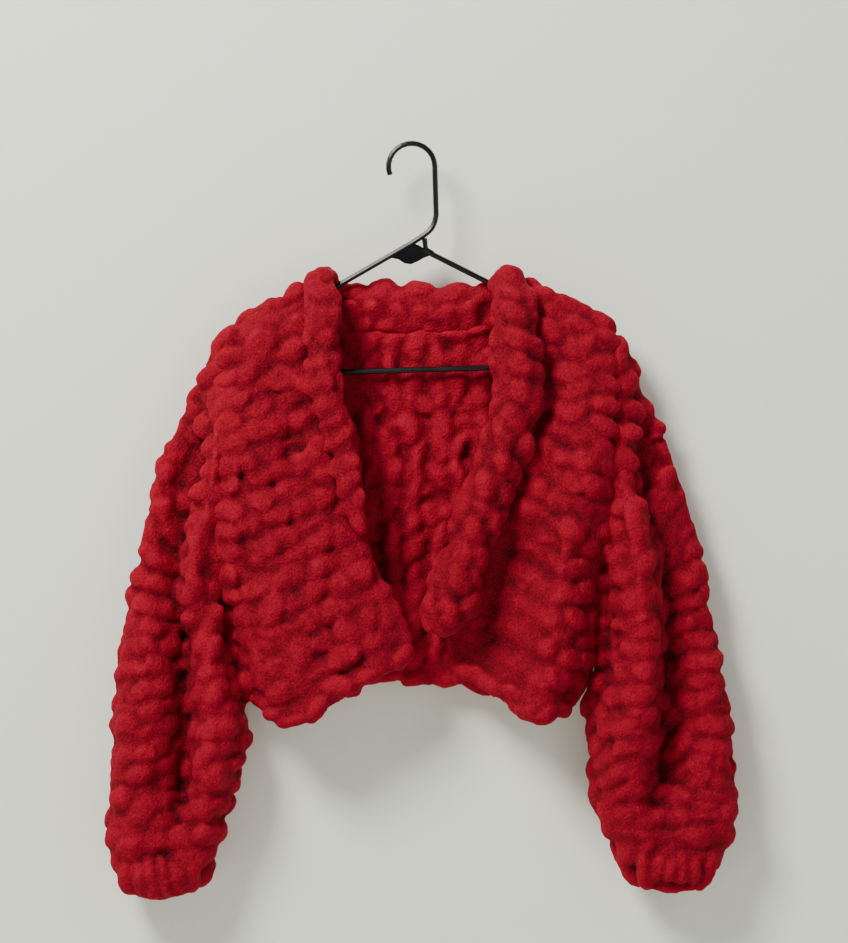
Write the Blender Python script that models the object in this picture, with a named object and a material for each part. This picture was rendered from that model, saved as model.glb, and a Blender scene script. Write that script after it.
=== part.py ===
"""A cropped bolero, hand-knitted in very thick plush yarn, hanging on a black moulded hanger.

The sizes are millimetres, and MM turns them into Blender's metres. X runs to the viewer's right,
Y runs back to the wall and Z runs up. The origin is the inside top of the hanger's hook, where a
peg carries it. "Right" and "left" in a piece's name are the wearer's, so the right sleeve has -X.
"""

import math

import bmesh
import bpy
import numpy as np

MM = 0.001

# Driving sizes of the knitted cloth
WALL = 12.0  # thickness of the cloth under its raised rows
ROW_RELIEF = 2.6  # how far a row's crest stands out, and its valley lies in
SEAM_GAP = 0.4  # between two sewn pieces
ROUND_POWER = 0.55  # how full the flattened armhole and sleeve are
SHOULDER_ROUND = 30.0  # how far below the shoulder seam the cloth is still turning over
SHOULDER_EXTRA = 2.4  # the seam allowance inside the shoulder, which the hanger's arm carries
SHOULDER_EASE = 0.35  # share of the shoulder seam over which that allowance begins
SIDE_ROUND = 34.0  # how far in from the side seam it is still turning
SHARP_EDGE = math.radians(40)

# Shares of a panel over which its raised rows fade out
ROW_FADE = {"side": 0.12, "front_edge": 0.14, "shoulder": 0.05, "hem": 0.02, "back_side": 0.06}

# Grid counts: a flattened ring has two halves, and a row of stitches takes two grid lines
HALF_RING = 8
ROWS_BY_ARMHOLE_STEP = (1, 3, 4, 5, 5, 4, 3, 1)
SIDE_ROWS = 10
SLEEVE_RINGS = 52
SLEEVE_LINING_RINGS = 13
FOLD_WIDTH = 0.14  # the sleeve's long fold, as a share of its flattened width
FULL_RELIEF_STEP = 10.0  # rings closer than this have lower rows
SLEEVE_HEAD = 25.0  # the rows grow over this length from the armhole
FRONT_COLUMNS = (0.0, 0.035, 0.11, 0.21, 0.33, 0.45, 0.57, 0.69, 0.80, 0.90, 1.0)
BACK_COLUMNS = (0.0, 0.018, 0.055, 0.105, 0.16, 0.215, 0.25, 0.29, 0.36, 0.43,
                0.50, 0.57, 0.64, 0.71, 0.75, 0.785, 0.84, 0.895, 0.945, 0.982, 1.0)
NECK_FIRST, NECK_LAST = 0.25, 0.75  # the columns between which the back's neck lies
NECK_BLEND = 0.04  # share of the back over which a rounded shoulder becomes the flat neck edge

# Outlines as seen from the front: x, z
ARMHOLE = {
    "right": ((-197, -470), (-194, -187)),
    "left": ((198, -446), (212, -190)),
}
SIDE_SEAM = {
    "right": ((-197, -470), (-185, -511), (-169, -562), (-158, -583)),
    "left": ((198, -446), (194, -485), (193, -525), (185, -556), (168, -582)),
}
SHOULDER = {
    "right": ((-194, -187), (-167, -174), (-139, -162.5), (-121, -149.5), (-110, -141.5)),
    "left": ((212, -190), (201, -180), (182, -172), (162, -162.5), (140, -152.4), (125, -144)),
}
FRONT_EDGE = {
    "right": ((-110, -141.5), (-98, -158), (-86, -190), (-80, -230), (-76, -265), (-58, -308),
              (-53, -367), (-43, -411), (-27, -448), (-6, -484), (1, -508), (-3, -530)),
    "left": ((125, -144), (118, -158), (112, -185), (112, -240), (110, -280), (92, -330),
             (72, -385), (56, -430), (46, -475), (40, -512), (45, -546)),
}
FRONT_HEM = {
    "right": ((-158, -583), (-140, -597), (-119, -597), (-91, -580), (-49, -555), (-20, -545), (-3, -530)),
    "left": ((168, -582), (152, -591), (125, -592), (112, -586), (98, -574), (80, -566), (45, -546)),
}
BACK_NECK = ((-110, -141.5), (-106, -158), (-98, -174), (-84, -184), (-60, -187), (0, -188),
             (66, -187), (96, -184), (112, -174), (121, -160), (125, -144))
BACK_HEM = ((-158, -583), (-110, -573), (-50, -561), (0, -556), (50, -560), (110, -572), (168, -582))

# How far each front stands forward, from the side seam to the front edge, shoulder row first
FRONT_DEPTH = {
    "right": ((32, 32, 29, 24), (32, 40, 38, 26), (32, 50, 47, 30), (32, 58, 55, 38), (32, 54, 56, 44)),
    "left": ((32, 32, 28, 24), (32, 44, 38, 23), (32, 54, 42, 22), (32, 60, 46, 21), (32, 60, 44, 18)),
}
BACK_DEPTH = ((26, 26, 26, 26), (26, 27, 27, 26), (26, 27, 27, 26), (26, 27, 27, 26), (26, 26, 26, 26))

# Sleeve sections, from the armhole to the cuff. Each is a flattened ring between an outer and an
# inner point: outer x, z, inner x, z, depth in front, depth behind, place and depth of the long fold
SLEEVE_SECTIONS = {
    "right": (
        (-194, -187, -197, -470, 32, 26, 0.90, 0),
        (-219, -238, -199, -472, 33, 26, 0.85, 3),
        (-238, -278, -200, -474, 35, 26, 0.75, 6),
        (-262, -332, -200, -477, 38, 26, 0.62, 9),
        (-273, -385, -199, -482, 41, 26, 0.52, 11),
        (-283, -428, -197, -490, 43, 26, 0.46, 12),
        (-297, -490, -192, -513, 45, 26, 0.42, 14),
        (-304, -552, -180, -556, 46, 26, 0.40, 15),
        (-309, -620, -168, -606, 46, 26, 0.42, 14),
        (-313, -676, -178, -655, 44, 26, 0.43, 10),
        (-314, -722, -193, -706, 40, 25, 0.45, 5),
        (-299, -768, -212, -765, 31, 22, 0.50, 2),
    ),
    "left": (
        (212, -190, 198, -446, 32, 26, 0.90, 0),
        (231, -222, 201, -449, 33, 26, 0.85, 3),
        (246, -268, 203, -452, 35, 26, 0.72, 7),
        (266, -312, 204, -456, 38, 26, 0.60, 10),
        (284, -358, 205, -463, 41, 26, 0.52, 12),
        (299, -410, 206, -474, 44, 26, 0.48, 14),
        (308, -470, 207, -500, 46, 26, 0.46, 15),
        (319, -530, 202, -548, 47, 26, 0.45, 16),
        (329, -590, 189, -596, 47, 26, 0.45, 15),
        (335, -650, 184, -640, 45, 26, 0.45, 11),
        (335, -706, 192, -692, 41, 25, 0.45, 5),
        (312, -760, 226, -760, 31, 22, 0.50, 2),
    ),
}

# Rolled collar: centre x, y, z, half width, half depth
COLLAR_SECTIONS = {
    "right": (
        (-92, 11, -144, 11, 8),
        (-94, 2, -138, 13, 9),
        (-95, -10, -138, 14, 9),
        (-95, -22, -150, 15, 10),
        (-93, -31, -175, 16, 11),
        (-91, -34, -215, 16, 12),
        (-87, -37, -255, 15, 12),
        (-72, -40, -300, 13, 10),
        (-61, -42, -345, 11, 9),
        (-55, -44, -382, 9, 8),
        (-49, -45, -400, 4, 4),
    ),
    "left": (
        (104, 11, -144, 12, 8),
        (106, 2, -138, 15, 9),
        (107, -12, -139, 17, 10),
        (109, -25, -152, 18, 12),
        (112, -34, -180, 20, 14),
        (114, -37, -230, 21, 15),
        (114, -38, -266, 21, 16),
        (104, -39, -300, 21, 16),
        (87, -39, -340, 20, 16),
        (71, -39, -380, 19, 16),
        (56, -40, -420, 20, 16),
        (44, -42, -455, 22, 17),
        (35, -44, -480, 23, 16),
        (31, -44, -496, 17, 12),
        (29, -43, -504, 7, 6),
    ),
}
COLLAR_SIDES = 12
COLLAR_RING_STEP = 12.0
COLLAR_SETTLE = {"right": 0.6, "left": 2.6}  # how far a roll settles between a front's highest points
PANEL_GRID_STEP = 14.0  # a front's points this far round a roll count as under it
OVER_ARM_Y = -16.0  # a roll's ring behind this lies on the hanger's arm, not on a front
NECK_BAND_HALF_HEIGHT = 22.0
NECK_BAND_HALF_DEPTH = 11.5
NECK_BAND_Y = 17.0
NECK_BAND_LIFT = 0.7  # keeps its round underside just off the back's neck edge
NECK_BAND_RINGS = 15
NECK_BAND_REACH = (-80.0, 92.0)
NECK_BAND_END_SIZE = 0.55  # its ends against its full size
NECK_BAND_END_RINGS = 1.5  # over how many rings it grows to full size

# Moulded hanger
ROD_RADIUS = 2.9
HOOK_RADIUS = 24.0
HOOK_END_TURN = math.radians(200)
SHANK_LENGTH = 51.0
APEX_DROP = 101.0
APEX_ASIDE = -2.8
ARM_SLOPE = math.radians(26.6)
HANGER_HALF_WIDTH = 187.0
HANGER_END_RADIUS = 19.0
BAR_BELOW_APEX = 131.0
HANGER_TILT = math.radians(1.6)
SHANK_BEND = ((0.0, 0.0), (-2.5, -9.0), (-9.0, -17.5))  # x, z from the shank's foot
NECK_STUB = ((22.0, -11.0), (15.0, -6.0), (14.0, 5.0))  # x, z from the apex
ARM_JOINT = 0.07  # where the second arm's end meets the first, as a share of the arm
HOOK_POINTS = 15
ARM_END_POINTS = 9
GUSSET_THICKNESS = 2.4
GUSSET_OUTLINE = ((-25, -115), (-13, -117.5), (-7, -121.5), (0, -122.5), (7, -119.5), (13, -116), (22, -112.5),
                  (9, -103), (0, -100), (-8, -103))


def new_material(name, colour, roughness):
    material = bpy.data.materials.new(name)
    material.use_nodes = True
    shader = material.node_tree.nodes["Principled BSDF"]
    shader.inputs["Base Color"].default_value = (*colour, 1.0)
    shader.inputs["Roughness"].default_value = roughness
    shader.inputs["Metallic"].default_value = 0.0
    return material


def spaced(line, fractions):
    """Points of a line at fractions of its length."""
    steps = np.linalg.norm(np.diff(line, axis=0), axis=1)
    lengths = np.concatenate(([0.0], np.cumsum(steps)))
    wanted = np.asarray(fractions) * lengths[-1]
    return np.column_stack([np.interp(wanted, lengths, column) for column in line.T])


def smooth_line(points, steps=12):
    """A fine line on the smooth curve through the points."""
    points = np.array(points, dtype=float)
    padded = np.vstack((2 * points[0] - points[1], points, 2 * points[-1] - points[-2]))
    line = []
    for before, start, end, after in zip(padded, padded[1:], padded[2:], padded[3:]):
        for step in range(steps):
            t = step / steps
            line.append(0.5 * (2 * start + (end - before) * t
                               + (2 * before - 5 * start + 4 * end - after) * t ** 2
                               + (3 * start - before - 3 * end + after) * t ** 3))
    line.append(points[-1])
    return np.array(line)


def from_table(table, across, down):
    """A table's value between its rows and columns, both evenly spaced."""
    table = np.array(table, dtype=float)
    rows = np.linspace(0, 1, len(table))
    columns = np.linspace(0, 1, table.shape[1])
    by_row = [np.interp(across, columns, row) for row in table]
    return float(np.interp(down, rows, by_row))


def quarter_round(share):
    """Height of a quarter circle, from 0 at its start to 1."""
    share = min(max(share, 0.0), 1.0)
    return math.sqrt(1.0 - (1.0 - share) ** 2)


def ease(share):
    share = min(max(share, 0.0), 1.0)
    return share * share * (3.0 - 2.0 * share)


def armhole_nodes(side, inset):
    """Where the sleeve is sewn in, from the armpit to the shoulder: x, z and how full the ring is."""
    armpit, shoulder_point = np.array(ARMHOLE[side], dtype=float)
    margin = inset / np.linalg.norm(shoulder_point - armpit)
    angles = np.linspace(0.0, math.pi, HALF_RING + 1)
    places = margin + (1.0 - 2.0 * margin) * (1.0 - np.cos(angles)) / 2.0
    nodes = armpit + places[:, None] * (shoulder_point - armpit)
    return np.column_stack((nodes, np.abs(np.sin(angles)) ** ROUND_POWER))


def outer_boundary(side, inset):
    """A panel's armhole and side seam, shoulder first: x, z and fullness on each grid line."""
    nodes = armhole_nodes(side, inset)[::-1]
    points = [nodes[0]]
    for start, end, count in zip(nodes, nodes[1:], ROWS_BY_ARMHOLE_STEP):
        for step in range(1, count + 1):
            points.append(start + (end - start) * step / count)
    seam = spaced(smooth_line(SIDE_SEAM[side]), np.linspace(0, 1, SIDE_ROWS + 1))[1:]
    inward = inset if side == "right" else -inset
    for x, z in seam:
        points.append(np.array((x + inward, z, 0.0)))
    return np.array(points)


def row_places(side):
    """How far down a panel each grid line lies, from 0 at the shoulder to 1 at the hem."""
    boundary = outer_boundary(side, 0.0)[:, :2]
    steps = np.linalg.norm(np.diff(boundary, axis=0), axis=1)
    lengths = np.concatenate(([0.0], np.cumsum(steps)))
    return lengths / lengths[-1]


def patch(top, bottom, start, end, columns, rows):
    """A grid that fills four boundary lines, each point worked out from all four."""
    grid = np.zeros((len(rows), len(columns), 2))
    for i, v in enumerate(rows):
        for j, u in enumerate(columns):
            corners = ((1 - u) * (1 - v) * top[0] + u * (1 - v) * top[-1]
                       + (1 - u) * v * bottom[0] + u * v * bottom[-1])
            grid[i, j] = (1 - u) * start[i] + u * end[i] + (1 - v) * top[j] + v * bottom[j] - corners
    return grid


def fit_ends(line, first, last):
    """A line moved a little so that it starts and ends where its neighbours do."""
    share = np.linspace(0, 1, len(line))[:, None]
    return line + (1 - share) * (first - line[0]) + share * (last - line[-1])


def row_relief(row, fade):
    """A row's crest stands out and its valley lies in."""
    crest = 1.0 if row % 2 else -1.0
    return ROW_RELIEF * crest * fade


def row_fade_down(down):
    """How far the rows are raised at a share of the way down a panel."""
    return ease(down / ROW_FADE["shoulder"]) * ease((1.0 - down) / ROW_FADE["hem"])


def shoulder_seam(side, inset, fractions):
    """The shoulder seam's upper side, or its underside, which hangs lower over the hanger's arm."""
    line = spaced(smooth_line(SHOULDER[side]), fractions)
    if inset:
        share = np.array([ease(fraction / SHOULDER_EASE) for fraction in fractions])
        line[:, 1] -= inset + SHOULDER_EXTRA * share
    return line


def front_surface(side, inset):
    """One face of a front: the outside with no inset, the inside with the wall's thickness."""
    boundary = outer_boundary(side, inset)
    rows = row_places(side)
    shoulder = shoulder_seam(side, inset, FRONT_COLUMNS)
    edge = spaced(smooth_line(FRONT_EDGE[side]), rows)
    edge[0] = shoulder[-1]
    if inset:
        edge[1] = (edge[0] + edge[2]) / 2
    shoulder = fit_ends(shoulder, boundary[0, :2], shoulder[-1])
    hem = spaced(smooth_line(FRONT_HEM[side]), FRONT_COLUMNS)
    hem = fit_ends(hem, boundary[-1, :2], hem[-1])
    flat = patch(shoulder, hem, boundary[:, :2], edge, FRONT_COLUMNS, rows)
    surface = np.zeros((*flat.shape[:2], 3))
    for i, v in enumerate(rows):
        width = np.linalg.norm(flat[i, -1] - flat[i, 0])
        for j, u in enumerate(FRONT_COLUMNS):
            x, z = flat[i, j]
            drop = np.linalg.norm(flat[i, j] - flat[0, j])
            inner = quarter_round(drop / (SHOULDER_ROUND - inset))
            turned = quarter_round(u * width / (SIDE_ROUND - inset))
            full = (1 - turned) * boundary[i, 2] + turned * inner
            depth = from_table(FRONT_DEPTH[side], u, v) - inset
            if not inset:
                edge_share = (1.0 - ROW_FADE["front_edge"] - u) / ROW_FADE["front_edge"]
                depth += row_relief(i, ease(u / ROW_FADE["side"]) * ease(edge_share) * row_fade_down(v))
            surface[i, j] = (x, -SEAM_GAP / 2 - depth * full, z)
    return surface


def back_surface(inset):
    right, left = outer_boundary("right", inset), outer_boundary("left", inset)
    rows = (row_places("right") + row_places("left")) / 2
    columns = np.array(BACK_COLUMNS)
    top = np.zeros((len(columns), 2))
    in_right, in_left = columns <= NECK_FIRST, columns >= NECK_LAST
    in_neck = ~(in_right | in_left)
    top[in_right] = shoulder_seam("right", inset, columns[in_right] / NECK_FIRST)
    top[in_left] = shoulder_seam("left", inset, (1 - columns[in_left]) / (1 - NECK_LAST))
    top[in_neck] = spaced(smooth_line(BACK_NECK), (columns[in_neck] - NECK_FIRST) / (NECK_LAST - NECK_FIRST))
    top = fit_ends(top, right[0, :2], left[0, :2])
    hem = fit_ends(spaced(smooth_line(BACK_HEM), columns), right[-1, :2], left[-1, :2])
    flat = patch(top, hem, right[:, :2], left[:, :2], columns, rows)
    surface = np.zeros((*flat.shape[:2], 3))
    for i, v in enumerate(rows):
        width = np.linalg.norm(flat[i, -1] - flat[i, 0])
        for j, u in enumerate(columns):
            x, z = flat[i, j]
            drop = np.linalg.norm(flat[i, j] - flat[0, j])
            neck_share = ease((u - NECK_FIRST) / NECK_BLEND) * ease((NECK_LAST - u) / NECK_BLEND)
            inner = (1 - neck_share) * quarter_round(drop / (SHOULDER_ROUND - inset)) + neck_share
            from_side = min(u, 1 - u) * width
            turned = quarter_round(from_side / (SIDE_ROUND - inset))
            seam_full = right[i, 2] if u < 0.5 else left[i, 2]
            full = (1 - turned) * seam_full + turned * inner
            depth = from_table(BACK_DEPTH, u, v) - inset
            if not inset:
                depth += row_relief(i, ease(min(u, 1 - u) / ROW_FADE["back_side"]) * row_fade_down(v))
            surface[i, j] = (x, SEAM_GAP / 2 + depth * full, z)
    return surface


def sleeve_sections(side, count):
    """Sleeve sections spaced evenly down the sleeve's outer edge."""
    line = smooth_line(SLEEVE_SECTIONS[side])
    steps = np.linalg.norm(np.diff(line[:, :2], axis=0), axis=1)
    lengths = np.concatenate(([0.0], np.cumsum(steps)))
    wanted = np.linspace(0, lengths[-1], count)
    sections = np.column_stack([np.interp(wanted, lengths, column) for column in line.T])
    return sections, wanted


def sleeve_surface(side, inset, count):
    """Rings of one face of a sleeve, each from the armpit round the front and back again."""
    sections, lengths = sleeve_sections(side, count)
    angles = np.linspace(0.0, 2 * math.pi, 2 * HALF_RING, endpoint=False)
    places = (1.0 - np.cos(angles)) / 2.0
    outward = -SEAM_GAP if side == "right" else SEAM_GAP
    surface = np.zeros((count, len(angles), 3))
    for k, (outer_x, outer_z, inner_x, inner_z, front, back, fold_at, fold) in enumerate(sections):
        outer, inner = np.array((outer_x, outer_z)), np.array((inner_x, inner_z))
        reach = outer - inner
        length = np.linalg.norm(reach)
        neighbour = sections[min(k + 1, count - 1)] - sections[max(k - 1, 0)]
        outer_step = np.linalg.norm(neighbour[:2]) / 2
        inner_step = np.linalg.norm(neighbour[2:4]) / 2
        for j, angle in enumerate(angles):
            step = (1 - places[j]) * inner_step + places[j] * outer_step
            squeeze = min(1.0, step / FULL_RELIEF_STEP) * min(1.0, lengths[k] / SLEEVE_HEAD)
            offset = inset if inset else -row_relief(k, squeeze)
            margin = offset / length
            place = margin + (1 - 2 * margin) * places[j]
            x, z = inner + place * reach
            full = abs(math.sin(angle)) ** ROUND_POWER
            if j <= HALF_RING:
                dent = fold * math.exp(-((place - fold_at) / FOLD_WIDTH) ** 2)
                y = -(front - offset - dent) * full
            else:
                y = (back - offset) * full
            if k == 0:
                x += outward
            surface[k, j] = (x, y, z)
    return surface


def mesh_object(name, points, faces, material):
    mesh = bpy.data.meshes.new(name)
    mesh.from_pydata([tuple(np.array(point) * MM) for point in points], [], faces)
    shape = bmesh.new()
    shape.from_mesh(mesh)
    bmesh.ops.recalc_face_normals(shape, faces=shape.faces)
    bmesh.ops.triangulate(shape, faces=shape.faces)
    shape.to_mesh(mesh)
    shape.free()
    mesh.materials.append(material)
    mesh.shade_smooth()
    mesh.set_sharp_from_angle(angle=SHARP_EDGE)
    piece = bpy.data.objects.new(name, mesh)
    parts.objects.link(piece)
    return piece


def panel_wall(name, outside, inside, material):
    """A closed wall between two grids of the same size, with a rim on its four sides."""
    rows, columns = outside.shape[:2]
    points = np.concatenate((outside.reshape(-1, 3), inside.reshape(-1, 3)))
    shift = rows * columns
    faces = []
    for i in range(rows - 1):
        for j in range(columns - 1):
            a, b = i * columns + j, i * columns + j + 1
            c, d = b + columns, a + columns
            faces.append((a, b, c, d))
            faces.append((d + shift, c + shift, b + shift, a + shift))
    around = list(range(columns))
    around += [i * columns + columns - 1 for i in range(1, rows)]
    around += [(rows - 1) * columns + j for j in range(columns - 2, -1, -1)]
    around += [i * columns for i in range(rows - 2, 0, -1)]
    for a, b in zip(around, around[1:] + around[:1]):
        faces.append((b, a, a + shift, b + shift))
    return mesh_object(name, points, faces, material)


def tube_wall(name, outside, inside, material):
    """A closed wall between two open tubes whose rings have the same number of points."""
    sides = outside.shape[1]
    points = np.concatenate((outside.reshape(-1, 3), inside.reshape(-1, 3)))
    shift = outside.shape[0] * sides
    faces = []
    for start, rings in ((0, outside.shape[0]), (shift, inside.shape[0])):
        for k in range(rings - 1):
            for j in range(sides):
                a, b = start + k * sides + j, start + k * sides + (j + 1) % sides
                faces.append((a, b, b + sides, a + sides) if start else (a + sides, b + sides, b, a))
    last_out, last_in = (outside.shape[0] - 1) * sides, shift + (inside.shape[0] - 1) * sides
    for first, second in ((0, shift), (last_out, last_in)):
        for j in range(sides):
            k = (j + 1) % sides
            faces.append((first + j, first + k, second + k, second + j))
    return mesh_object(name, points, faces, material)


def roll_rings(sections):
    """Rings of a soft roll along its centre line, wide across the cloth and thinner through it."""
    line = smooth_line(sections)
    length = np.sum(np.linalg.norm(np.diff(line[:, :3], axis=0), axis=1))
    count = max(int(round(length / COLLAR_RING_STEP)), 4)
    sections = spaced(line, np.linspace(0, 1, count))
    rings = []
    for k, section in enumerate(sections):
        along = sections[min(k + 1, count - 1), :3] - sections[max(k - 1, 0), :3]
        along /= np.linalg.norm(along)
        across = np.array((1.0, 0.0, 0.0)) - along[0] * along
        across /= np.linalg.norm(across)
        through = np.cross(along, across)
        angles = np.linspace(0, 2 * math.pi, COLLAR_SIDES, endpoint=False)
        rings.append([section[:3] + section[3] * math.cos(a) * across + section[4] * math.sin(a) * through
                      for a in angles])
    return np.array(rings)


def lay_on(rings, panel_points, settle):
    """The roll's underside, pressed flat where it lies on the front's outside.

    It settles a little between the front's highest points.
    """
    for ring in rings:
        low, high = ring.min(axis=0) - PANEL_GRID_STEP, ring.max(axis=0) + PANEL_GRID_STEP
        under = panel_points[(panel_points[:, 0] > low[0]) & (panel_points[:, 0] < high[0])
                             & (panel_points[:, 2] > low[2]) & (panel_points[:, 2] < high[2])]
        is_over_arm = ring[:, 1].mean() > OVER_ARM_Y
        if len(under) and not is_over_arm:
            ring[:, 1] = np.minimum(ring[:, 1], under[:, 1].min() - SEAM_GAP + settle)
    return rings


def closed_roll(name, rings, material):
    count, sides = rings.shape[:2]
    points = np.concatenate((rings.reshape(-1, 3), [rings[0].mean(axis=0)], [rings[-1].mean(axis=0)]))
    faces = []
    for k in range(count - 1):
        for j in range(sides):
            a, b = k * sides + j, k * sides + (j + 1) % sides
            faces.append((a + sides, b + sides, b, a))
    for j in range(sides):
        k = (j + 1) % sides
        faces.append((j, k, count * sides))
        faces.append(((count - 1) * sides + k, (count - 1) * sides + j, count * sides + 1))
    return mesh_object(name, points, faces, material)


def neck_band_rings():
    """The collar's back part, standing on the back's neck edge."""
    edge = smooth_line(BACK_NECK)
    standing = edge[(edge[:, 0] > NECK_BAND_REACH[0]) & (edge[:, 0] < NECK_BAND_REACH[1])]
    places = spaced(standing, np.linspace(0, 1, NECK_BAND_RINGS))
    rings = []
    for k, (x, z) in enumerate(places):
        end_share = min(1.0, min(k, NECK_BAND_RINGS - 1 - k) / NECK_BAND_END_RINGS)
        size = NECK_BAND_END_SIZE + (1.0 - NECK_BAND_END_SIZE) * end_share
        centre_z = z + NECK_BAND_HALF_HEIGHT + NECK_BAND_LIFT
        ring = []
        for step in range(COLLAR_SIDES):
            angle = 2 * math.pi * step / COLLAR_SIDES
            ring.append((x, NECK_BAND_Y + size * NECK_BAND_HALF_DEPTH * math.sin(angle),
                         centre_z + size * NECK_BAND_HALF_HEIGHT * math.cos(angle)))
        rings.append(ring)
    return np.array(rings)


def tilted(x, z):
    """A point of the hanger as it hangs, a little lower on its left as seen from the front."""
    return (x * math.cos(HANGER_TILT) - z * math.sin(HANGER_TILT),
            x * math.sin(HANGER_TILT) + z * math.cos(HANGER_TILT))


def rod_object(name, route):
    """A round rod along points in the hanger's plane, as a mesh with welded caps."""
    curve = bpy.data.curves.new(name, "CURVE")
    curve.dimensions = "3D"
    curve.bevel_depth = ROD_RADIUS * MM
    curve.bevel_resolution = 2
    curve.use_fill_caps = True
    spline = curve.splines.new("POLY")
    spline.points.add(len(route) - 1)
    for point, (x, z) in zip(spline.points, route):
        x, z = tilted(x, z)
        point.co = (x * MM, 0.0, z * MM, 1.0)
    return mesh_from_curve(name, curve)


def mesh_from_curve(name, curve, turn=None):
    drawn = bpy.data.objects.new(name + "_curve", curve)
    parts.objects.link(drawn)
    if turn:
        drawn.rotation_euler = turn
    bpy.context.view_layer.update()
    evaluated = drawn.evaluated_get(bpy.context.evaluated_depsgraph_get())
    mesh = bpy.data.meshes.new_from_object(evaluated)
    mesh.transform(drawn.matrix_world)
    shape = bmesh.new()
    shape.from_mesh(mesh)
    bmesh.ops.remove_doubles(shape, verts=shape.verts, dist=0.00001)
    bmesh.ops.recalc_face_normals(shape, faces=shape.faces)
    shape.to_mesh(mesh)
    shape.free()
    piece = bpy.data.objects.new(name, mesh)
    parts.objects.link(piece)
    bpy.data.objects.remove(drawn)
    return piece


def arc(centre_x, centre_z, radius, start, end, count):
    angles = np.linspace(start, end, count)
    return [(centre_x + radius * math.cos(a), centre_z + radius * math.sin(a)) for a in angles]


def hanger_route():
    """The hook, shank, arms and bar as one rod, from the hook's free end to near the apex again."""
    hook_z = ROD_RADIUS - HOOK_RADIUS
    route = arc(0.0, hook_z, HOOK_RADIUS, HOOK_END_TURN, 0.0, HOOK_POINTS)
    shank_foot = hook_z - SHANK_LENGTH
    apex_x, apex_z = APEX_ASIDE, -APEX_DROP
    bend_points = [(HOOK_RADIUS + x, shank_foot + z) for x, z in SHANK_BEND]
    bend = smooth_line((*bend_points, (apex_x, apex_z)), steps=3)
    route += [tuple(point) for point in bend]
    bar_z = apex_z - BAR_BELOW_APEX
    run = HANGER_HALF_WIDTH - HANGER_END_RADIUS
    left_x, right_x = apex_x - run, apex_x + run
    end_z = bar_z + HANGER_END_RADIUS
    turn = math.pi / 2 + ARM_SLOPE
    left_end = arc(left_x, end_z, HANGER_END_RADIUS, turn, 1.5 * math.pi, ARM_END_POINTS)
    right_end = arc(right_x, end_z, HANGER_END_RADIUS, -0.5 * math.pi, math.pi - turn, ARM_END_POINTS)
    route += left_end + right_end
    top_x, top_z = right_end[-1]
    route.append((apex_x + ARM_JOINT * (top_x - apex_x), apex_z + ARM_JOINT * (top_z - apex_z)))
    return route


def build_hanger(material):
    frame_rod = rod_object("hanger", hanger_route())
    stub = rod_object("neck_stub", [(APEX_ASIDE + x, z - APEX_DROP) for x, z in NECK_STUB])
    outline = bpy.data.curves.new("gusset", "CURVE")
    outline.dimensions = "2D"
    outline.fill_mode = "BOTH"
    outline.extrude = GUSSET_THICKNESS / 2 * MM
    spline = outline.splines.new("POLY")
    spline.points.add(len(GUSSET_OUTLINE) - 1)
    spline.use_cyclic_u = True
    for point, (x, z) in zip(spline.points, GUSSET_OUTLINE):
        point.co = (x * MM, z * MM, 0.0, 1.0)
    gusset = mesh_from_curve("gusset", outline, turn=(math.pi / 2, 0.0, 0.0))
    for extra in (stub, gusset):
        union = frame_rod.modifiers.new("join", "BOOLEAN")
        union.operation = "UNION"
        union.solver = "EXACT"
        union.object = extra
        bpy.context.view_layer.update()
        evaluated = frame_rod.evaluated_get(bpy.context.evaluated_depsgraph_get())
        joined = bpy.data.meshes.new_from_object(evaluated)
        frame_rod.modifiers.clear()
        frame_rod.data = joined
        bpy.data.objects.remove(extra)
    frame_rod.data.materials.clear()
    frame_rod.data.materials.append(material)
    frame_rod.data.shade_smooth()
    frame_rod.data.set_sharp_from_angle(angle=SHARP_EDGE)


for old in list(bpy.data.objects):
    bpy.data.objects.remove(old)
parts = bpy.data.collections.new("bolero_on_hanger")
bpy.context.scene.collection.children.link(parts)

plush = new_material("crimson_plush_yarn", (0.42, 0.012, 0.03), 0.9)
collar_plush = new_material("crimson_plush_collar", (0.45, 0.014, 0.033), 0.9)
lining_plush = new_material("crimson_plush_back", (0.38, 0.01, 0.026), 0.9)
plastic = new_material("black_moulded_plastic", (0.012, 0.012, 0.014), 0.35)

panel_wall("back", back_surface(0.0), back_surface(WALL), lining_plush)
for side in ("right", "left"):
    outside = front_surface(side, 0.0)
    panel_wall(side + "_front", outside, front_surface(side, WALL), plush)
    tube_wall(side + "_sleeve", sleeve_surface(side, 0.0, SLEEVE_RINGS),
              sleeve_surface(side, WALL, SLEEVE_LINING_RINGS), plush)
    rings = lay_on(roll_rings(COLLAR_SECTIONS[side]), outside.reshape(-1, 3), COLLAR_SETTLE[side])
    closed_roll(side + "_collar", rings, collar_plush)
closed_roll("neck_band", neck_band_rings(), collar_plush)
build_hanger(plastic)
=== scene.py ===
import math
import random

import bpy
import numpy as np
from mathutils import Matrix, Vector
from mathutils.bvhtree import BVHTree


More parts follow.
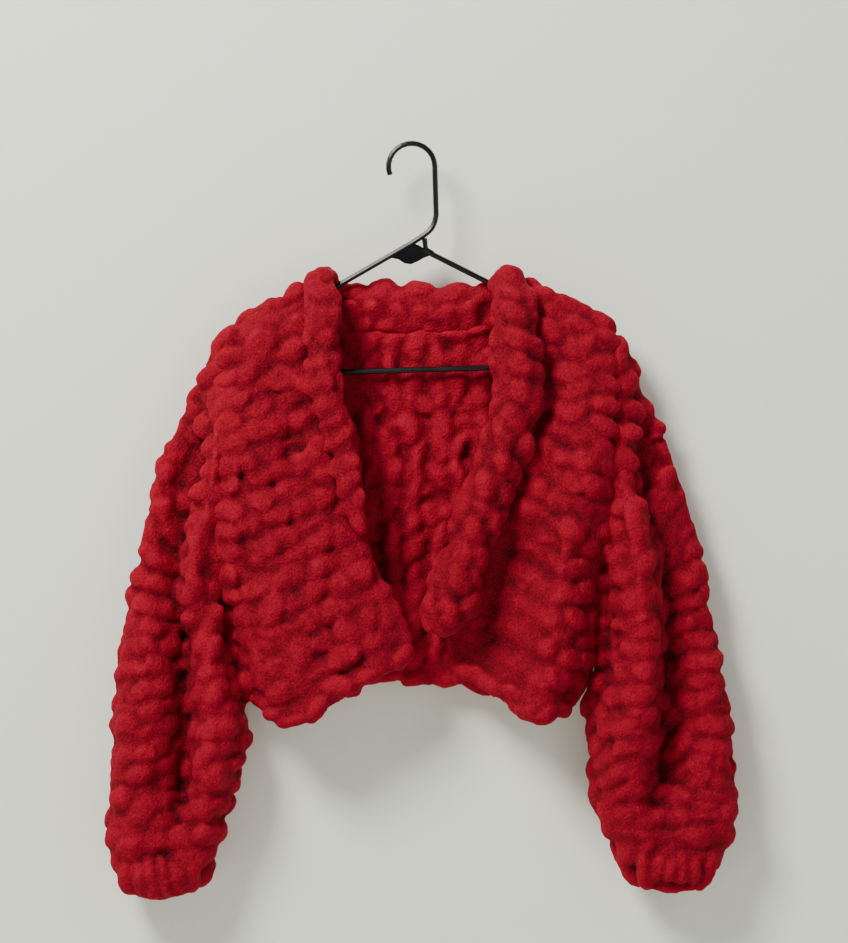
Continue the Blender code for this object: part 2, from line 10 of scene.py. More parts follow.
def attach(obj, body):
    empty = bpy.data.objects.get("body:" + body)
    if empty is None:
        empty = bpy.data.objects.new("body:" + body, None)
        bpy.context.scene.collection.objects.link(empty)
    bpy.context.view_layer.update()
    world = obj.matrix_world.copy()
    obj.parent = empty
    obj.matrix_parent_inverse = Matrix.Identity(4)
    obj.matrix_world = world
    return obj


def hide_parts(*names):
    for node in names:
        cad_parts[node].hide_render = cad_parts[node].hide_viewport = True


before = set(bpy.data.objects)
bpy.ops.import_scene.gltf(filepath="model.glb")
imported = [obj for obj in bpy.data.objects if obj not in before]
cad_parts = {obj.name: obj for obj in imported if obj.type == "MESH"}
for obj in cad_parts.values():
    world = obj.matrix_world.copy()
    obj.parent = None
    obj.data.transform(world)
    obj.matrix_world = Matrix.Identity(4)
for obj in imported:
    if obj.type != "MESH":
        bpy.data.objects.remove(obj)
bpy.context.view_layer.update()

MM = 0.001


# Clothes hanger: one injection moulding of black polypropylene, a round rod for hook, arms and bar.
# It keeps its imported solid. A fine-blasted mould gives it a soft satin shine and faint flow marks.
def linear(hex_colour):
    """An sRGB hex colour as the linear values that a shader takes."""
    channels = [int(hex_colour[start:start + 2], 16) / 255 for start in (1, 3, 5)]
    return [c / 12.92 if c <= 0.04045 else ((c + 0.055) / 1.055) ** 2.4 for c in channels] + [1.0]


def add_node(tree, kind, settings, links):
    """Adds a node, sets its options and input values, and links its inputs to other outputs."""
    node = tree.nodes.new(kind)
    for name, value in settings.items():
        if isinstance(name, int) or name in node.inputs:
            node.inputs[name].default_value = value
        else:
            setattr(node, name, value)
    for name, output in links.items():
        tree.links.new(output, node.inputs[name])
    return node


def colour_steps(ramp, steps):
    """Gives a colour ramp its places and colours."""
    while len(ramp.color_ramp.elements) < len(steps):
        ramp.color_ramp.elements.new(0.5)
    for element, (place, hex_colour) in zip(ramp.color_ramp.elements, steps):
        element.position = place
        element.color = linear(hex_colour)


def moulded_polypropylene():
    """Black polypropylene off a fine-blasted mould: a satin shine, with flow marks about 25 mm apart."""
    material = bpy.data.materials.new("moulded_black_polypropylene")
    material.use_nodes = True
    tree = material.node_tree
    shader = tree.nodes["Principled BSDF"]
    place = add_node(tree, "ShaderNodeTexCoord", {}, {}).outputs["Object"]
    flow = add_node(tree, "ShaderNodeTexNoise", {"Scale": 1.0 / (25 * MM), "Detail": 3.0}, {"Vector": place})
    tint = add_node(tree, "ShaderNodeValToRGB", {}, {"Fac": flow.outputs["Fac"]})
    colour_steps(tint, ((0.35, "#020203"), (0.7, "#07080A")))
    gloss = add_node(tree, "ShaderNodeMapRange", {"To Min": 0.26, "To Max": 0.38},
                     {"Value": flow.outputs["Fac"]})
    grain = add_node(tree, "ShaderNodeTexNoise", {"Scale": 1.0 / (0.5 * MM), "Detail": 2.0},
                     {"Vector": place})
    bump = add_node(tree, "ShaderNodeBump", {"Strength": 0.12, "Distance": 0.1 * MM},
                    {"Height": grain.outputs["Fac"]})
    tree.links.new(tint.outputs["Color"], shader.inputs["Base Color"])
    tree.links.new(gloss.outputs["Result"], shader.inputs["Roughness"])
    tree.links.new(bump.outputs["Normal"], shader.inputs["Normal"])
    shader.inputs["IOR"].default_value = 1.49
    shader.inputs["Specular IOR Level"].default_value = 0.28
    return material


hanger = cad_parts["hanger"]
hanger.data.materials.clear()
hanger.data.materials.append(moulded_polypropylene())


# Back: one hand-knitted panel of very thick chenille yarn, purl side out, sewn to the fronts and sleeves.
# Its inside shows through the neck as upright chains of loops. Chenille is a cut pile of fine fibres twisted
# between two threads, so it takes light softly and glows a little at its edges. Its creases carry painted
# shade.
def plush_yarn():
    """Crimson chenille plush: matt, with a fine uneven grain, and painted shade: creases much darker than
    crowns.

    A real fibre is about 0.1 mm thick, too fine to show, so the pile is drawn as tufts of about 2 mm.
    """
    material = bpy.data.materials.new("hand_knitted_chenille_plush")
    material.use_nodes = True
    tree = material.node_tree
    shader = tree.nodes["Principled BSDF"]
    place = add_node(tree, "ShaderNodeTexCoord", {}, {}).outputs["Object"]
    painted_shading = add_node(tree, "ShaderNodeAttribute", {"attribute_name": "painted_shading"}, {})
    patches = add_node(tree, "ShaderNodeTexNoise", {"Scale": 1.0 / (28 * MM), "Detail": 2.0},
                       {"Vector": place})
    pile = add_node(tree, "ShaderNodeTexNoise", {"Scale": 1.0 / (2.1 * MM), "Detail": 1.0, "Roughness": 0.5},
                    {"Vector": place})
    tufts = add_node(tree, "ShaderNodeTexVoronoi", {"Scale": 1.0 / (2.4 * MM)}, {"Vector": place})
    uneven = add_node(tree, "ShaderNodeMath", {"operation": "MULTIPLY_ADD", 1: 0.3, 2: -0.15},
                      {0: patches.outputs["Fac"]})
    # The pile's speckle is random tone and also painted shade: it darkens where its own bump is low.
    speckle_and_pit_shade = add_node(tree, "ShaderNodeMath", {"operation": "MULTIPLY_ADD", 1: 0.7, 2: -0.35},
                       {0: pile.outputs["Fac"]})
    shade = add_node(tree, "ShaderNodeMath", {"operation": "ADD"},
                     {0: uneven.outputs[0], 1: speckle_and_pit_shade.outputs[0]})
    level = add_node(tree, "ShaderNodeMath", {"operation": "ADD"},
                     {0: painted_shading.outputs["Fac"], 1: shade.outputs[0]})
    # Painted shade: the ramp colours the creases and troughs darkest and the crowns lightest.
    tint = add_node(tree, "ShaderNodeValToRGB", {}, {"Fac": level.outputs[0]})
    colour_steps(tint, ((0.0, "#20030A"), (0.25, "#520915"), (0.5, "#7C0E1E"), (0.75, "#931226"),
                        (1.0, "#A51A33")))
    height = add_node(tree, "ShaderNodeMath", {"operation": "SUBTRACT"},
                      {0: pile.outputs["Fac"], 1: tufts.outputs["Distance"]})
    bump = add_node(tree, "ShaderNodeBump", {"Strength": 0.5, "Distance": 1.5 * MM},
                    {"Height": height.outputs[0]})
    tree.links.new(tint.outputs["Color"], shader.inputs["Base Color"])
    tree.links.new(bump.outputs["Normal"], shader.inputs["Normal"])
    shader.inputs["Roughness"].default_value = 0.92
    shader.inputs["Specular IOR Level"].default_value = 0.06
    shader.inputs["Sheen Weight"].default_value = 0.2
    shader.inputs["Sheen Roughness"].default_value = 0.45
    shader.inputs["Sheen Tint"].default_value = linear("#E0284C")
    return material


def use_only(piece):
    """Selects one piece and nothing else."""
    bpy.ops.object.select_all(action="DESELECT")
    piece.select_set(True)
    bpy.context.view_layer.objects.active = piece


def change(piece, kind, **settings):
    """Adds a modifier and applies it."""
    use_only(piece)
    modifier = piece.modifiers.new(kind.lower(), kind)
    for name, value in settings.items():
        setattr(modifier, name, value)
    bpy.ops.object.modifier_apply(modifier=modifier.name)


def points_of(piece):
    """Where each point of a mesh lies."""
    points = np.zeros(len(piece.data.vertices) * 3, np.float32)
    piece.data.vertices.foreach_get("co", points)
    return points.reshape(-1, 3)


def move_points(piece, points):
    """Puts the points of a mesh where they are given."""
    piece.data.vertices.foreach_set("co", points.astype(np.float32).ravel())
    piece.data.update()


def soft_noise(name, grain):
    """A cloud pattern whose lumps are about grain metres across."""
    pattern = bpy.data.textures.new(name, "CLOUDS")
    pattern.noise_scale = grain
    pattern.noise_depth = 1
    return pattern


LOOP_DRAW_IN = 3.0 * MM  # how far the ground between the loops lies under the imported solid's outer face
GROUND_GRAIN = 4.0 * MM
SLACK_DEPTH = 5 * MM  # how much the cloth's own slack moves its ground
slack = soft_noise("slack", 60 * MM)
knots = soft_noise("knots", 24 * MM)
lumps = soft_noise("lumps", 10 * MM)


def facing_of(piece):
    """Which way the skin faces at each point of a mesh."""
    facing = np.zeros(len(piece.data.vertices) * 3, np.float32)
    piece.data.vertices.foreach_get("normal", facing)
    return facing.reshape(-1, 3)


def knitted_ground(node_name, draw_in=LOOP_DRAW_IN, middle_y=None):
    """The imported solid's own form, evened out and drawn in, as the ground that the loops stand on.

    Where middle_y is given, only the faces that look away from it are drawn in, so the cloth stays whole.
    """
    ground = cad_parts[node_name].copy()
    ground.data = ground.data.copy()
    ground.name = node_name + "_knit"
    ground.parent = None
    for mark in list(ground.keys()):
        del ground[mark]
    bpy.context.scene.collection.objects.link(ground)
    ground.hide_render = False
    use_only(ground)
    bpy.ops.object.mode_set(mode="EDIT")
    bpy.ops.mesh.select_all(action="SELECT")
    bpy.ops.mesh.remove_doubles(threshold=0.00001)
    bpy.ops.object.mode_set(mode="OBJECT")
    change(ground, "REMESH", mode="VOXEL", voxel_size=GROUND_GRAIN)
    change(ground, "SMOOTH", factor=0.5, iterations=3)
    points, facing = points_of(ground), facing_of(ground)
    if middle_y is not None:
        draw_in = draw_in * np.clip(3 * facing[:, 1] * np.sign(points[:, 1] - middle_y), 0, 1)[:, None]
    move_points(ground, points - draw_in * facing)
    change(ground, "DISPLACE", texture=slack, strength=SLACK_DEPTH, mid_level=0.5, texture_coords="LOCAL")
    return ground


FOLD_END = 0.2  # share of a fold's length over which it fades
FOLD_ROOT = 12 * MM  # how far past the part's middle plane a fold still moves the cloth
FOLD_REACH = 34 * MM  # the depth over which a fold's effect grows to the whole
FOLD_INNER = 0.3  # how much more, or less, the cloth's inner face moves


def press_fold(ground, line, width, depth, facing=-1):
    """Moves the cloth in along a line seen from the front, or out where the depth is negative.

    The fold is steep on one side where width has two values: to the line's left and to its right,
    looking from its first point to its last. It fades at both its ends, and the cloth's inner face
    moves so that the cloth keeps its thickness on a steep side.
    """
    left_width, right_width = width if isinstance(width, tuple) else (width, width)
    points = points_of(ground)
    flat = points[:, [0, 2]] / MM
    nearest = np.full(len(points), 1e9)
    along = np.zeros(len(points))
    on_left = np.zeros(len(points), bool)
    for step, (start, end) in enumerate(zip(np.array(line, float), np.array(line[1:], float))):
        run = end - start
        share = np.clip(((flat - start) @ run) / (run @ run), 0, 1)
        away = flat - start - share[:, None] * run
        distance = np.hypot(away[:, 0], away[:, 1])
        closer = distance < nearest
        nearest[closer] = distance[closer]
        along[closer] = (step + share[closer]) / (len(line) - 1)
        on_left[closer] = (run[0] * away[:, 1] - run[1] * away[:, 0])[closer] > 0
    reach = np.where(on_left, left_width, right_width)
    share = np.exp(-(nearest / reach) ** 2) * np.clip(np.minimum(along, 1 - along) / FOLD_END, 0.15, 1)
    share *= np.clip((facing * points[:, 1] + FOLD_ROOT) / FOLD_REACH, 0, 1)
    inner = np.clip(-3 * facing * facing_of(ground)[:, 1], 0, 1)
    share *= 1 + FOLD_INNER * math.copysign(1, depth) * inner
    points[:, 1] -= facing * depth * MM * share
    move_points(ground, points)


def spot(x, y, z):
    """A point given in mm."""
    return Vector((x * MM, y * MM, z * MM))


def surface_of(piece):
    """A mesh's skin, to be searched for its nearest point or along a ray."""
    return BVHTree.FromPolygons([v.co for v in piece.data.vertices],
                                [p.vertices for p in piece.data.polygons])


def seen_line(surface, start, end, look=1, from_y=-200.0, bow=0.0):
    """Points every 2 mm where a line, drawn as seen from the front or the back, falls on the cloth."""
    start, end = np.array(start, float), np.array(end, float)
    count = max(int(np.linalg.norm(end - start) / 2.0), 2)
    found = []
    for share in np.linspace(0, 1, count):
        x, z = start + share * (end - start)
        z -= 4 * bow * share * (1 - share)
        hit = surface.ray_cast(spot(x, from_y, z), Vector((0, look, 0)))
        if hit[0] is not None:
            found.append(hit[0])
    return found


# One loop of the yarn as it shows: a puff, thicker at one end, modelled once and copied
bpy.ops.object.select_all(action="DESELECT")
bpy.ops.mesh.primitive_uv_sphere_add(segments=8, ring_count=6, radius=0.5)
loop = bpy.context.active_object
bpy.ops.transform.rotate(value=math.pi / 2, orient_axis="Y", center_override=(0, 0, 0))
bpy.ops.object.transform_apply(location=False, rotation=True, scale=False)
bpy.ops.object.mode_set(mode="EDIT")
bpy.ops.mesh.select_all(action="DESELECT")
bpy.ops.object.mode_set(mode="OBJECT")
for corner in loop.data.vertices:
    corner.select = abs(corner.co.x) > 0.1
bpy.ops.object.mode_set(mode="EDIT")
bpy.ops.transform.resize(value=(1.0, 1.2, 1.2))
bpy.ops.object.mode_set(mode="OBJECT")
for corner in loop.data.vertices:
    corner.select = corner.co.x > 0.1
bpy.ops.object.mode_set(mode="EDIT")
bpy.ops.transform.resize(value=(1.0, 0.88, 0.84))
bpy.ops.transform.translate(value=(0.0, 0.07, 0.0))
bpy.ops.object.mode_set(mode="OBJECT")
loop_corners = points_of(loop).copy()
loop_faces = [tuple(face.vertices) for face in loop.data.polygons]
loop_rings = [(place, np.flatnonzero(np.abs(loop_corners[:, 0] - place) < 0.01))
              for place in sorted({round(float(corner), 2) for corner in loop_corners[:, 0]})]
bpy.data.objects.remove(loop)


LEAN_SPREAD = 14  # degrees
SIZE_SPREAD = (0.8, 1.24)  # a hand-knitted loop's size against its row's
RISE_SPREAD = 1.2  # mm
STRAY = 2.6 * MM  # how far a loop lies from its place in the row


class Loops:
    """The loops that stand on one piece of cloth.

    A calm patch, where they hardly stand out, is its middle x and z, half its width and height, and how
    far they sink in there, all in mm.
    """

    def __init__(self, ground, seed, calm=None):
        self.surface = surface_of(ground)
        self.calm = calm
        self.draw = random.Random(seed)
        self.places = []
        self.shapes = []

    def add(self, point, along, size, lean=0.0, rise=0.0, clear=0.55, outward=None, wrap=True):
        """Stands one loop on the cloth, unless another is nearer than clear times its width.

        Its size is length, width and height in mm, and rise says how many mm its middle lies out of the
        skin. It leans by so many degrees, faces more outward where that is given, and bends with the skin
        where it wraps.
        """
        near, normal = self.surface.find_nearest(point)[:2]
        if outward is not None:
            normal = (normal + outward).normalized()
        closest = clear * size[1] * MM
        if any((near - other).length < closest for other in self.places):
            return
        along = (along - along.dot(normal) * normal).normalized()
        lean += self.draw.gauss(0, LEAN_SPREAD)
        along = Matrix.Rotation(math.radians(lean), 3, normal) @ along
        if self.draw.random() < 0.5:
            along = -along
        length, width, height = (value * MM * self.draw.uniform(*SIZE_SPREAD) for value in size)
        rise = (rise + self.draw.uniform(-RISE_SPREAD, RISE_SPREAD)) * MM
        if self.calm is not None:
            x, z, half_width, half_height, drop = self.calm
            away = math.hypot((near.x / MM - x) / half_width, (near.z / MM - z) / half_height)
            rise -= drop * MM * min(max(2 - 2 * away, 0), 1)
        shape = np.empty_like(loop_corners)
        for place, ring in loop_rings:
            centre, facing = near + along * length * place, normal
            if wrap:
                centre, facing = self.surface.find_nearest(centre)[:2]
                facing = (facing + 0.5 * normal).normalized()
            if wrap and outward is not None:
                facing = (facing + outward).normalized()
            across = facing.cross(along).normalized()
            shape[ring] = (np.array(centre + facing * rise)
                           + loop_corners[ring, 1:2] * width * np.array(across)
                           + loop_corners[ring, 2:3] * height * np.array(facing))
        self.places.append(near)
        self.shapes.append(shape)

    def row(self, line, size, spacing, lean=0.0, rise=0.0, first=0.5, clear=0.55, outward=None, last=1.0):
        """Stands loops end to end along a line of points, and shrinks them to a last share of their size."""
        line = np.array([tuple(point) for point in line])
        if len(line) < 2:
            return
        lengths = np.concatenate(([0.0], np.cumsum(np.linalg.norm(np.diff(line, axis=0), axis=1)))) / MM
        place = spacing * first
        while place < lengths[-1]:
            here = Vector([np.interp(place, lengths, column) for column in line.T])
            ahead = Vector([np.interp(place + 6, lengths, column) for column in line.T])
            behind = Vector([np.interp(place - 6, lengths, column) for column in line.T])
            if (ahead - behind).length > 0:
                shrunk = 1 - (1 - last) * place / lengths[-1]
                stray = Vector([self.draw.gauss(0, STRAY) for axis in range(3)])
                self.add(here + stray, ahead - behind, [shrunk * value for value in size],
                         lean, rise, clear, outward)
            place += spacing * self.draw.uniform(0.86, 1.14)


def brick(row):
    """Where a row's first loop stands, so that the rows lie like bricks."""
    return 0.5 if row % 2 else 0.05


def share_of(line, share):
    """The point at a share of a line's length."""
    line = np.array(line, float)
    lengths = np.concatenate(([0.0], np.cumsum(np.linalg.norm(np.diff(line, axis=0), axis=1))))
    return np.array([np.interp(share * lengths[-1], lengths, column) for column in line.T])


FINISH_GRAIN = 2.4 * MM  # fine enough for the crease between two loops
KNOT_DEPTH = 5 * MM
LUMP_DEPTH = 2.0 * MM
NEAR_RANGE = 7 * MM  # height between a crease and a crown that fills the whole range of shades
WIDE_RANGE = 28 * MM  # the same between a trough and a fold
plush = plush_yarn()


def mark_creases(piece, painted_lift):
    """Stores a painted shade for each point from how far it stands out: 0 deep in a crease, 1 on a crown.

    The near surroundings give the creases between loops, and the wide ones the troughs between folds.
    The lift given paints the whole piece lighter, as painted light.
    """
    points, facing = points_of(piece), facing_of(piece)
    change(piece, "SMOOTH", factor=0.5, iterations=12)
    near = ((points - points_of(piece)) * facing).sum(axis=1)
    change(piece, "SMOOTH", factor=0.5, iterations=150)
    wide = ((points - points_of(piece)) * facing).sum(axis=1)
    near = np.clip(near / NEAR_RANGE, -0.36, 0.4)
    wide = np.clip((wide - np.median(wide)) / WIDE_RANGE, -0.32, 0.1)
    move_points(piece, points)
    painted_shading = piece.data.attributes.new("painted_shading", "FLOAT", "POINT")
    painted_shading.data.foreach_set("value", np.clip(0.5 + painted_lift + near + wide, 0, 1).astype(np.float32))


def finish_knit(ground, loops, node_name, painted_lift=0.0):
    """Joins the loops with their ground in one soft skin and hands the piece over to the frame."""
    corners = np.concatenate(loops.shapes)
    faces = [tuple(corner + start * len(loop_corners) for corner in face)
             for start in range(len(loops.shapes)) for face in loop_faces]
    mesh = bpy.data.meshes.new("loops")
    mesh.from_pydata([tuple(corner) for corner in corners], [], faces)
    standing = bpy.data.objects.new("loops", mesh)
    bpy.context.scene.collection.objects.link(standing)
    change(standing, "SUBSURF", levels=1, render_levels=1)
    use_only(ground)
    standing.select_set(True)
    bpy.ops.object.join()
    change(ground, "REMESH", mode="VOXEL", voxel_size=FINISH_GRAIN)
    change(ground, "SMOOTH", factor=0.5, iterations=1)
    change(ground, "DISPLACE", texture=knots, strength=KNOT_DEPTH, mid_level=0.5, texture_coords="LOCAL")
    change(ground, "DISPLACE", texture=lumps, strength=LUMP_DEPTH, mid_level=0.5, texture_coords="LOCAL")
    use_only(ground)
    bpy.ops.object.shade_smooth()
    mark_creases(ground, painted_lift)
    ground.data.materials.clear()
    ground.data.materials.append(plush)
    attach(ground, "root")
    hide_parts(node_name)


# Lines as seen from the front, x and z in mm
SIDE_LINE = {
    "right": ((-194, -187), (-197, -470), (-185, -511), (-169, -562), (-158, -583)),
    "left": ((212, -190), (198, -446), (193, -525), (185, -556), (168, -582)),
}
BODY_ROWS = 18
BACK_MIDDLE = 14  # y of the back's middle, in mm
BACK_HEM = ((-158, -583), (-110, -573), (-50, -561), (0, -556), (50, -560), (110, -572), (168, -582))

# Folds as seen from the front: points, width to the line's left and right, depth
BACK_FOLDS = (
    (((-186, -250), (-140, -330), (-128, -420)), (22, 12), 6),
    (((-176, -440), (-120, -470), (-70, -530)), 14, 5),
    (((205, -240), (160, -300), (132, -400)), (12, 24), 7),
    (((190, -420), (150, -460), (120, -540)), 16, 5),
    (((-30, -240), (-16, -330), (-34, -450)), 26, 4),
    (((60, -300), (44, -400), (62, -520)), (14, 24), 5),
)
back = knitted_ground("back")
for line, width, depth in BACK_FOLDS:
    press_fold(back, line, width, depth, facing=1)
loops = Loops(back, 11)
for row in range(BODY_ROWS):
    share = (2 * row + 1) / (2 * BODY_ROWS)
    ends = share_of(SIDE_LINE["left"], share), share_of(SIDE_LINE["right"], share)
    line = seen_line(loops.surface, *ends, look=-1, from_y=200.0, bow=10 * share)
    loops.row(line, (41, 31, 18), 26, lean=12, rise=-4, first=brick(row), clear=0.6)
hem = [spot(x, BACK_MIDDLE, z) for x, z in BACK_HEM]
loops.row(hem, (36, 26, 24), 27, rise=-3, clear=0.5)
for column in range(-6, 7):
    x = 4 + 24 * column
    drift = 3.0 * math.sin(1.7 * column)
    line = seen_line(loops.surface, (x + drift, -192), (x - drift, -548), look=1, from_y=0.0)
    loops.row(line, (46, 24, 21), 27, lean=7 if column % 2 else -7, rise=1, clear=0)
neck_edge = [spot(x, BACK_MIDDLE, -193) for x in range(-92, 108, 4)]
loops.row(neck_edge, (38, 20, 20), 27, rise=0, first=0.2, clear=0.3)
# The back's inside is painted a little lighter overall: painted light.
finish_knit(back, loops, "back", painted_lift=0.08)


# Back of the collar: a band picked up along the back neck and knitted upwards, the same chenille yarn.
# Its free edge stands up in four or five round scallops between the hanger's arms.
NECK_LINE = ((-88, -184), (-60, -187), (0, -188), (66, -187), (100, -184))
BAND_MIDDLE = 17  # y of the band's middle, in mm
BAND_ENDS = ((-86, -160), (-86, -178), (98, -160), (98, -178), (-80, -146), (90, -141), (84, -150))

neck_band = knitted_ground("neck_band", draw_in=0.0)
loops = Loops(neck_band, 23)
top = [spot(x, BAND_MIDDLE, z + 41) for x, z in NECK_LINE]
loops.row(top, (44, 24, 34), 40, rise=-6, first=0.5, clear=0.3)
for x, z in BAND_ENDS:
    loops.add(spot(x, 18, z), Vector((0, 0, 1)), (36, 28, 24), rise=0, clear=0.2, wrap=False)
foot = [spot(x, BAND_MIDDLE, z - 1) for x, z in NECK_LINE]
loops.row(foot, (36, 22, 20), 26, lean=4, rise=0, first=0.3, clear=0.3)
for step in range(6):
    foot_chain = spot(-62 + 25 * step, 0, -187)
    loops.add(foot_chain, Vector((0.3, 0, 1 if step % 2 else -1)), (44, 28, 15), rise=-2, clear=0,
              wrap=False)
for height, first in ((30, 0.3), (12, 0.6)):
    for look, from_y in ((1, -60.0), (-1, 100.0)):
        ends = (-82, -187 + height), (92, -187 + height)
        line = seen_line(loops.surface, *ends, look=look, from_y=from_y)
        loops.row(line, (34, 20, 13), 27, lean=8, rise=-2.5, first=first)
# The band is painted a little lighter overall: painted light.
finish_knit(neck_band, loops, "neck_band", painted_lift=0.1)


# Fronts: two panels of the same knitting, each with a rounded lower corner and a firm edge row round it.
# They hang from the shoulder seams, and the body swings forward in soft folds from the armholes.
EDGE_LINE = {
    "right": ((-110, -141), (-98, -158), (-86, -190), (-76, -265), (-58, -308), (-53, -367), (-43, -411),
              (-27, -448), (1, -508), (-3, -530)),
    "left": ((125, -144), (112, -185), (110, -280), (92, -330), (72, -385), (46, -475), (45, -546)),
}
FRONT_HEM = {
    "right": ((-158, -583), (-140, -597), (-119, -597), (-91, -580), (-49, -555), (-20, -545), (-3, -530)),
    "left": ((168, -582), (152, -591), (125, -592), (98, -574), (80, -566), (45, -546)),
}
FRONT_FOLDS = {
    "right": (
        (((-150, -190), (-120, -300), (-118, -380)), 16, 5),
        (((-190, -330), (-150, -350), (-105, -345)), 10, 4),
        (((-175, -430), (-130, -450), (-100, -480)), 12, 5),
        (((-95, -420), (-80, -480), (-92, -540)), 14, 6),
        (((-150, -250), (-165, -330), (-160, -420)), 20, -5),
        (((-186, -215), (-186, -300), (-190, -380), (-190, -480)), (22, 30), -12),
    ),
    "left": (
        (((150, -180), (140, -270), (130, -330)), 14, 6),
        (((190, -260), (160, -330), (120, -360)), 12, 4),
        (((110, -420), (140, -450), (185, -460)), 12, 5),
        (((128, -380), (98, -440), (84, -500), (78, -560)), (38, 20), 18),
        (((110, -560), (135, -572), (160, -560)), 30, -9),
        (((170, -240), (175, -330), (165, -430)), 20, -5),
        (((200, -230), (198, -320), (190, -430)), (30, 22), -8),
    ),
}
SHOULDER_LINE = {
    "right": ((-186, -186), (-166, -173), (-146, -164), (-126, -156), (-108, -146)),
    "left": ((206, -190), (188, -176), (168, -168), (148, -160), (128, -152)),
}
# Soft patches where the loops hardly stand out: x, z, half width, half height, how far they sink in
FRONT_CALM = {"right": None, "left": (102, -460, 54, 120, 8)}
FRONT_DRAW = {"right": 31, "left": 37}  # start of each front's random draws
FRONT_LEAN = {"right": 24, "left": 14}
EDGE_IN = 7  # how far inside the edge its firm row lies, in mm
BEHIND_ALL = 200 * MM  # a plane behind the whole part, so that only the faces to the front are drawn in

for side, inward in (("right", 1), ("left", -1)):
    front = knitted_ground(side + "_front", middle_y=BEHIND_ALL)
    for line, width, depth in FRONT_FOLDS[side]:
        press_fold(front, line, width, depth)
    loops = Loops(front, FRONT_DRAW[side], calm=FRONT_CALM[side])
    for points in (EDGE_LINE[side], FRONT_HEM[side]):
        edge = []
        for share in np.linspace(0, 1, 60):
            x, z = share_of(points, share)
            step = share_of(points, min(share + 0.02, 1)) - share_of(points, max(share - 0.02, 0))
            aside = np.array((-step[1], step[0])) / np.linalg.norm(step)
            x, z = np.array((x, z)) + aside * EDGE_IN * inward
            edge += seen_line(loops.surface, (x, z), (x + 1, z))[:1]
        loops.row(edge, (42, 21, 19), 29, lean=6, rise=-1.0, clear=0.5,
                  outward=Vector((0.35 * inward, 0, -0.35)))
    for row in range(BODY_ROWS):
        x, z = share_of(SIDE_LINE[side], (row + 0.5) / BODY_ROWS)
        x += loops.draw.uniform(2, 11) * inward
        for point in seen_line(loops.surface, (x, z), (x, z + 1))[:1]:
            loops.add(point, Vector((1, 0, 0.3 * inward)), (40, 26, 18), rise=-3, clear=0.5, wrap=False)
    for x, z in SHOULDER_LINE[side]:
        loops.add(spot(x, 0, z + 20), Vector((1, 0, 0.5 * inward)), (38, 30, 26), rise=-6, clear=0.4,
                  wrap=False)
    for row in range(BODY_ROWS):
        share = (2 * row + 1) / (2 * BODY_ROWS)
        start, end = share_of(SIDE_LINE[side], share), share_of(EDGE_LINE[side], share)
        line = seen_line(loops.surface, start, end, bow=6)
        loops.row(line, (42, 32, 17), 26, lean=FRONT_LEAN[side], rise=-2.5,
                  first=brick(row), clear=0.6)
    finish_knit(front, loops, side + "_front")


# Collar sides: the fronts' edges rolled outwards on themselves. The right one thins out down its front.
# The left one is a fat rope of slanted turns that ends in a round free tip.

# Centre line of each roll: x, y, z
ROLL_LINE = {
    "right": ((-94, 2, -138), (-95, -22, -150), (-91, -34, -215), (-87, -37, -255), (-72, -40, -300),
              (-55, -44, -382), (-49, -45, -400)),
    "left": ((106, 2, -139), (109, -25, -152), (112, -34, -180), (114, -38, -266), (104, -39, -300),
             (71, -39, -380), (56, -40, -420), (35, -44, -480), (29, -43, -504)),
}
ROLL_LOOP = {"right": (40, 27, 19), "left": (42, 27, 25)}
ROLL_HEAD = {"right": (-87, -6, -138), "left": (103, -6, -138)}
ROLL_SWELL = 2.5 * MM
ROLL_DRAW = {"right": 41, "left": 47}
ROLL_LEAN = {"right": 20, "left": 40}
ROLL_LAST = {"right": 0.55, "left": 1.0}  # size of the last loop against the first

for side in ("right", "left"):
    roll = knitted_ground(side + "_collar", draw_in=-ROLL_SWELL)
    if side == "left":
        # Its upper part lies a little nearer to the neck
        points = points_of(roll)
        points[:, 0] -= 6 * MM * np.clip((points[:, 2] + 360 * MM) / (120 * MM), 0, 1)
        move_points(roll, points)
    loops = Loops(roll, ROLL_DRAW[side])
    for angle in range(0, 360, 60):
        away = Vector((math.sin(math.radians(angle)), -math.cos(math.radians(angle)), 0))
        line = [Vector(point) * MM + away * 60 * MM for point in ROLL_LINE[side]]
        line = [loops.surface.find_nearest(point)[0] for point in line]
        loops.row(line, ROLL_LOOP[side], 26, lean=ROLL_LEAN[side], rise=-4, first=0.2 + angle / 360,
                  clear=0.7, last=ROLL_LAST[side])
    for depth in (-12, 4, 16):
        head = Vector(ROLL_HEAD[side]) * MM + Vector((0, depth * MM, 0))
        loops.add(head, Vector((1, 0, 0)), (50, 38, 30), rise=-7, clear=0.1)
    behind = Vector(ROLL_HEAD[side]) * MM + Vector((0, 28, -14)) * MM
    loops.add(behind, Vector((1, 0, 0)), (46, 36, 26), rise=5, clear=0, wrap=False)
    if side == "right":
        for share in np.arange(0.22, 0.96, 0.075):
            x, y, z = share_of(ROLL_LINE[side], share)
            place = Vector((x - 9 + loops.draw.uniform(-4, 4), y - 12, z)) * MM
            loops.add(place, Vector((1, 0, 0.8)), (36, 25, 17), rise=-5, clear=0, wrap=False)
    else:
        tip = Vector((33, -46, -474)) * MM
        loops.add(tip, Vector((0.6, 0, 0.8)), (54, 39, 32), rise=-14, clear=0.0, wrap=False)
    finish_knit(roll, loops, side + "_collar")


# Sleeves: two knitted tubes sewn to straight dropped armholes. Each hangs flattened, with long folds down
# its front, and its last row is gathered into short upright loops round the cuff.

